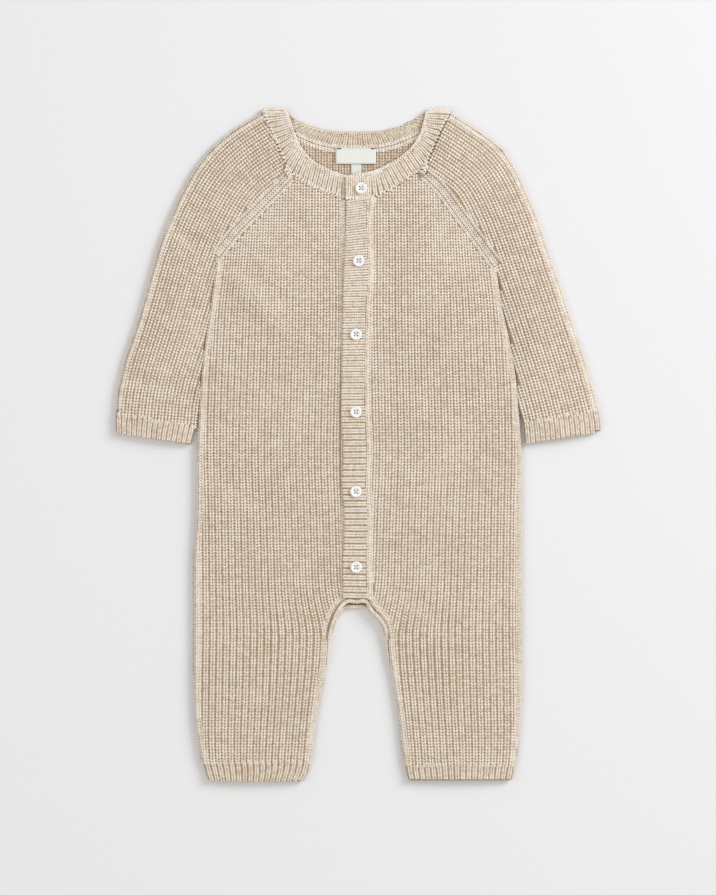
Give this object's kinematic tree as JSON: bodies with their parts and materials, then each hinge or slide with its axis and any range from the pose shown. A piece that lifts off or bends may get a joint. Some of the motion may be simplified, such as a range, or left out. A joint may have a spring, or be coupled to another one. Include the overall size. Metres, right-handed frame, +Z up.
{
  "type": "knitted baby romper laid flat",
  "caption": "Rib-knit baby romper laid flat on its back, with raglan sleeves, open legs, a round neckband and a buttoned front placket.",
  "frame": {"origin": "middle of the garment's outline, on the surface that it lies on", "axes": "+X across the garment to the right as seen from above, +Y from the hems to the neck, +Z up"},
  "size_m": [0.3635, 0.5037, 0.0097],
  "materials": {
    "knit": "oatmeal melange half-cardigan rib knit, matt and slightly fuzzy",
    "rib": "oatmeal melange fine 1x1 rib knit, matt and slightly fuzzy",
    "button": "pearly white shell, polished",
    "label": "ivory woven satin tape"
  },
  "bodies": {
    "root": {"back": "knit", "front_left": "knit", "front_right": "knit", "sleeve_left": "knit", "sleeve_right": "knit", "sleeve_cuff_left": "rib", "sleeve_cuff_right": "rib", "leg_cuff_left": "rib", "leg_cuff_right": "rib", "neckband": "rib", "placket_under": "rib", "placket_top": "rib", "crotch_trim_front": "rib", "crotch_trim_back": "rib", "button_1": "button", "button_2": "button", "button_3": "button", "button_4": "button", "button_5": "button", "button_6": "button", "label": "label", "size_tab": "label"}
  },
  "joints": []
}
